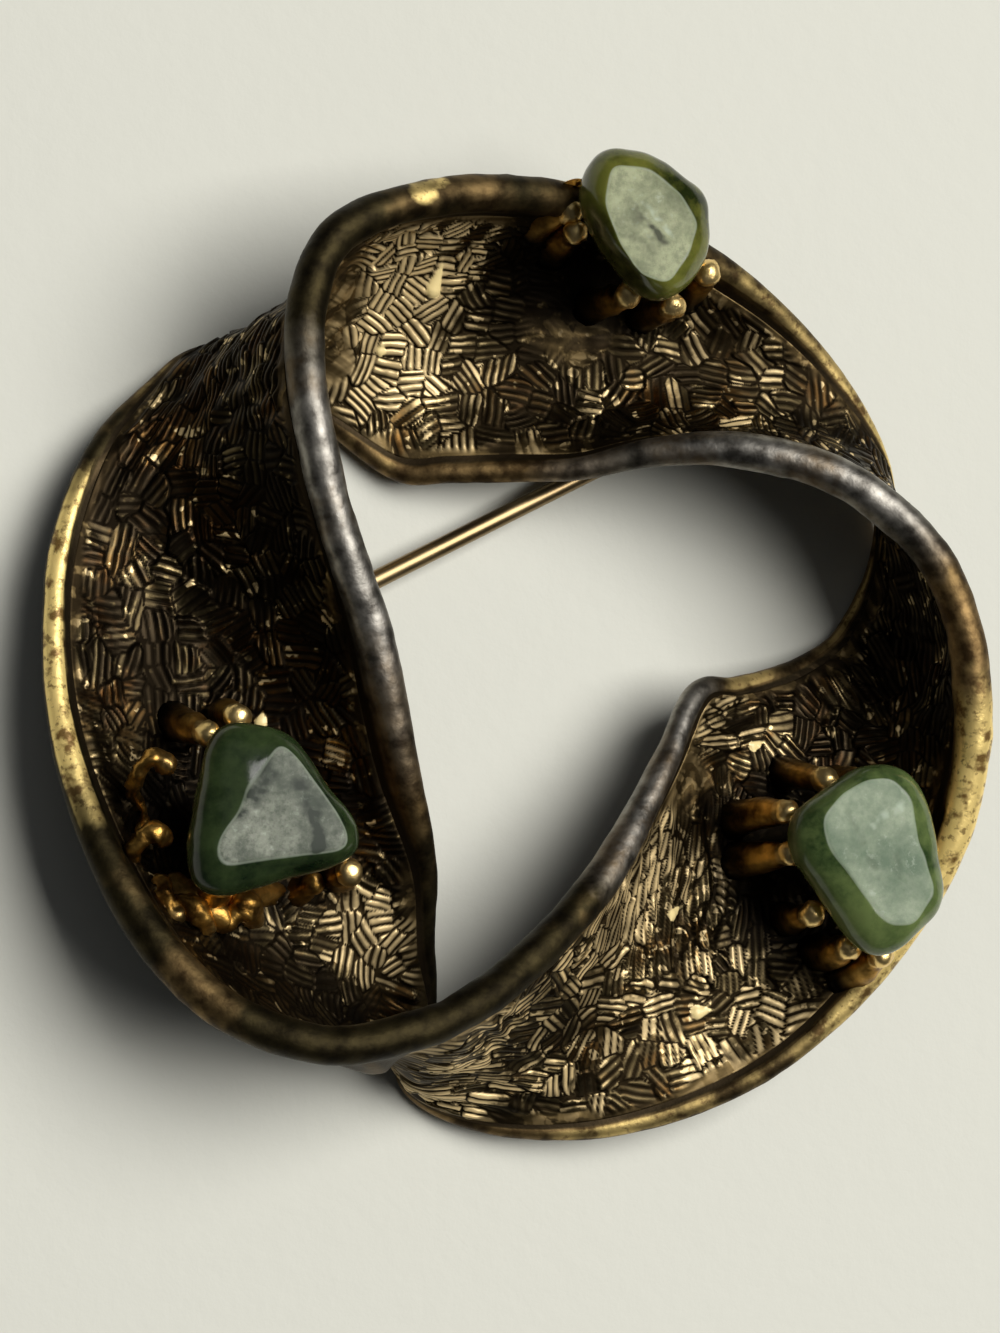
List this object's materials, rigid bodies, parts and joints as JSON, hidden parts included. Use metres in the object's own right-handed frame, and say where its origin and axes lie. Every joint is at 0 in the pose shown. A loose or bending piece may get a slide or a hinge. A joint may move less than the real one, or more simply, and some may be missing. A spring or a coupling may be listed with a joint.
{
  "type": "circle brooch",
  "caption": "Cast ring brooch made of a twisted trough ribbon with rolled edges, tumbled stones on claws and a hinged pin on its back.",
  "frame": {"origin": "on the surface that the brooch lies on, under the middle of its outline", "axes": "+Z out of the brooch's face, away from the wearer; +Y towards the picture's top, +X to its right"},
  "size_m": [0.0502, 0.0513, 0.0129],
  "materials": {
    "ring_metal": "antiqued cast brass with dark recesses and worn bright edges",
    "pin_metal": "dull drawn brass wire",
    "green_stone": "tumbled green stone with a frosted grey-green top"
  },
  "bodies": {
    "brooch": {"ring_frame": "ring_metal", "hinge_rivet": "pin_metal", "stone_top": "green_stone", "stone_right": "green_stone", "stone_left": "green_stone"},
    "pin": {"pin_stem": "pin_metal"}
  },
  "joints": [
    {"name": "pin_hinge", "type": "hinge", "parent": "brooch", "child": "pin", "pos_m": [-0.01817, -0.00194, 0.0013], "axis": [-0.4633, 0.8862, 0], "range_deg": [0, 100]}
  ]
}
